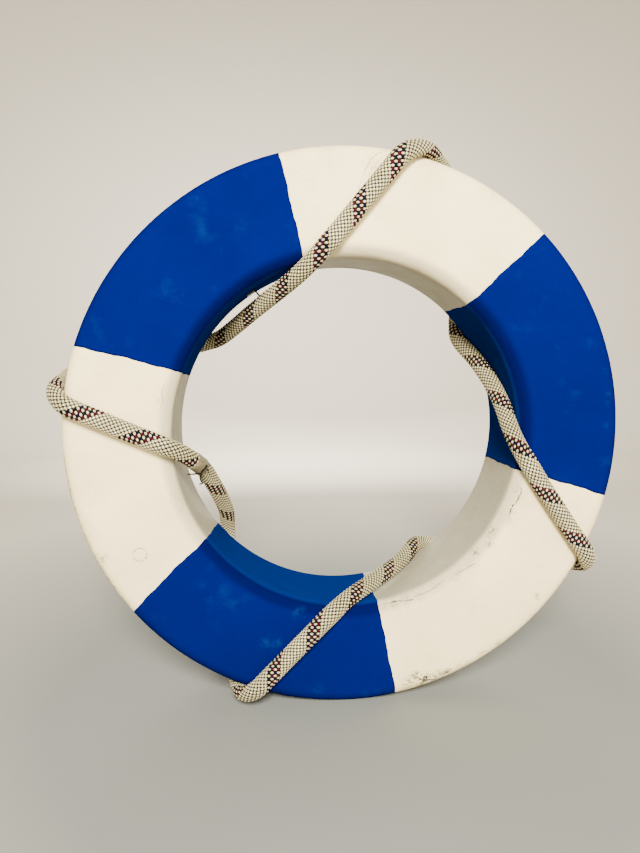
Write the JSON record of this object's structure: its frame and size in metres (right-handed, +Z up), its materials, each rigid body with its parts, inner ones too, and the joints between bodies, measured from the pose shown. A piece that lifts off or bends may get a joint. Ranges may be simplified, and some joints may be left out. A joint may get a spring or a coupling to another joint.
{
  "type": "ring lifebuoy",
  "caption": "Foam ring lifebuoy with a hard skin, painted sectors and a braided grab rope wound round it in a closed loop.",
  "frame": {"origin": "centre of the ring", "axes": "+Y along the ring's axis, out of its back face; the front face looks along -Y; +Z up with the ring standing on its rim as it is stored; angles run counter-clockwise from +X seen from the front"},
  "size_m": [0.5213, 0.13, 0.5161],
  "materials": {
    "shell_white": "satin, roller-painted cream white",
    "foam": "rigid closed-cell foam",
    "paint_blue": "satin, hand-painted blue",
    "rope_yarn": "braided polyester cover with dark red and navy flecks",
    "rope_core_yarn": "plain stranded core",
    "sleeve_clear": "thin clear wrap, yellowed",
    "thread_black": "waxed sewing thread",
    "tab_grey": "small moulded tab"
  },
  "bodies": {
    "root": {"ring_shell": "shell_white", "foam_core": "foam", "filler_plug": "shell_white", "vent_plug": "shell_white", "blue_coat_upper_left": "paint_blue", "blue_coat_bottom": "paint_blue", "blue_coat_right": "paint_blue", "rope_cover": "rope_yarn", "rope_core": "rope_core_yarn", "joint_sleeve": "sleeve_clear", "joint_stitches": "thread_black", "anchor_tab": "tab_grey", "anchor_thread": "thread_black"}
  },
  "joints": []
}
